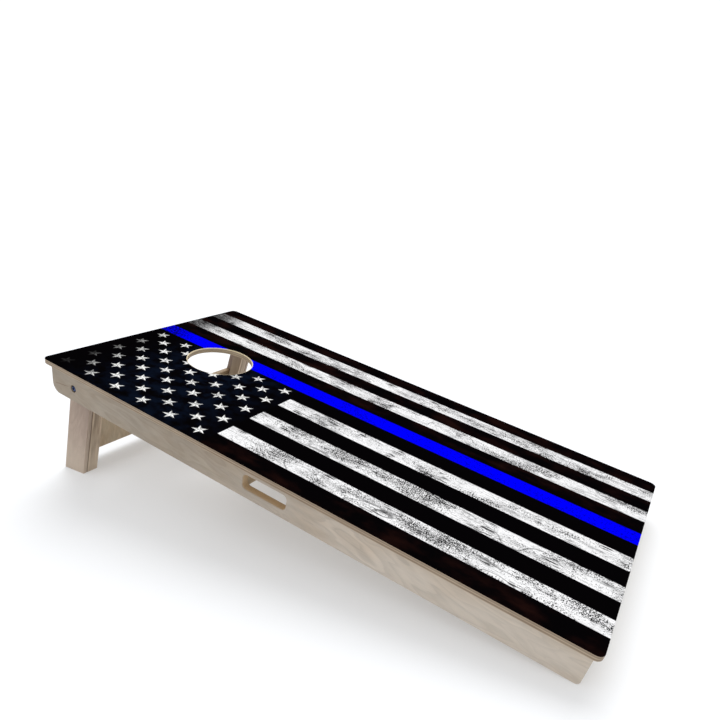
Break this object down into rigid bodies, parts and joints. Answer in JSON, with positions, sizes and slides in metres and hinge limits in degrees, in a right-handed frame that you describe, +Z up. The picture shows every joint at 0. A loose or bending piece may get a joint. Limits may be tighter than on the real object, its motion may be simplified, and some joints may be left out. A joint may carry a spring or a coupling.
{
  "type": "cornhole board",
  "caption": "Tilted cornhole game board: printed plywood deck with a round bag hole on a rail frame with hand slots, propped at the rear by braced legs that fold into the frame.",
  "frame": {"origin": "centre of the footprint, on the ground plane that the side rails' front corners and the leg feet stand on", "axes": "+Z up, -Y is the low front end that the player faces, +Y is the raised rear end with the bag hole, X runs across the deck"},
  "size_m": [0.6096, 1.2522, 0.2929],
  "materials": {
    "deck_ply": "bare sanded birch plywood, layers showing on the edge",
    "deck_print": "printed and clear-coated face, worn look",
    "rail_ply": "sanded, clear satin",
    "cross_rail_ply": "sanded, unfinished",
    "leg_wood": "sanded, clear satin",
    "brace_ply": "sanded, unfinished",
    "bolt_zinc": "blue zinc plate",
    "steel": "zinc plate",
    "nylon": "natural nylon",
    "screw_zinc": "yellow zinc plate"
  },
  "bodies": {
    "board": {"centre_rail": "cross_rail_ply", "deck": "deck_ply", "deck_print": "deck_print", "front_rail": "cross_rail_ply", "pivot_bolt_left": "bolt_zinc", "pivot_bolt_right": "bolt_zinc", "pivot_nut_left": "steel", "pivot_nut_right": "steel", "pivot_spacer_left": "nylon", "pivot_spacer_right": "nylon", "pivot_washer_left": "steel", "pivot_washer_right": "steel", "rear_rail": "cross_rail_ply", "screw_centre_rail_left_1": "screw_zinc", "screw_centre_rail_left_2": "screw_zinc", "screw_centre_rail_right_1": "screw_zinc", "screw_centre_rail_right_2": "screw_zinc", "screw_deck_centre_rail_left": "screw_zinc", "screw_deck_centre_rail_right": "screw_zinc", "screw_deck_front_rail_left": "screw_zinc", "screw_deck_front_rail_right": "screw_zinc", "screw_deck_rear_rail_left": "screw_zinc", "screw_deck_rear_rail_right": "screw_zinc", "screw_deck_side_left_front": "screw_zinc", "screw_deck_side_left_mid": "screw_zinc", "screw_deck_side_right_front": "screw_zinc", "screw_deck_side_right_mid": "screw_zinc", "screw_front_rail_left_1": "screw_zinc", "screw_front_rail_left_2": "screw_zinc", "screw_front_rail_right_1": "screw_zinc", "screw_front_rail_right_2": "screw_zinc", "screw_rear_rail_left_1": "screw_zinc", "screw_rear_rail_left_2": "screw_zinc", "screw_rear_rail_right_1": "screw_zinc", "screw_rear_rail_right_2": "screw_zinc", "side_rail_left": "rail_ply", "side_rail_right": "rail_ply"},
    "leg_frame": {"leg_batten_left": "leg_wood", "leg_batten_right": "leg_wood", "leg_board_left": "leg_wood", "leg_board_right": "leg_wood", "leg_brace": "brace_ply", "screw_brace_left_1": "screw_zinc", "screw_brace_left_2": "screw_zinc", "screw_brace_right_1": "screw_zinc", "screw_brace_right_2": "screw_zinc"}
  },
  "joints": [
    {"name": "leg_fold", "type": "hinge", "parent": "board", "child": "leg_frame", "pos_m": [0, 0.50262, 0.23174], "axis": [-1, 0, 0], "range_deg": [0, 100.7]}
  ]
}
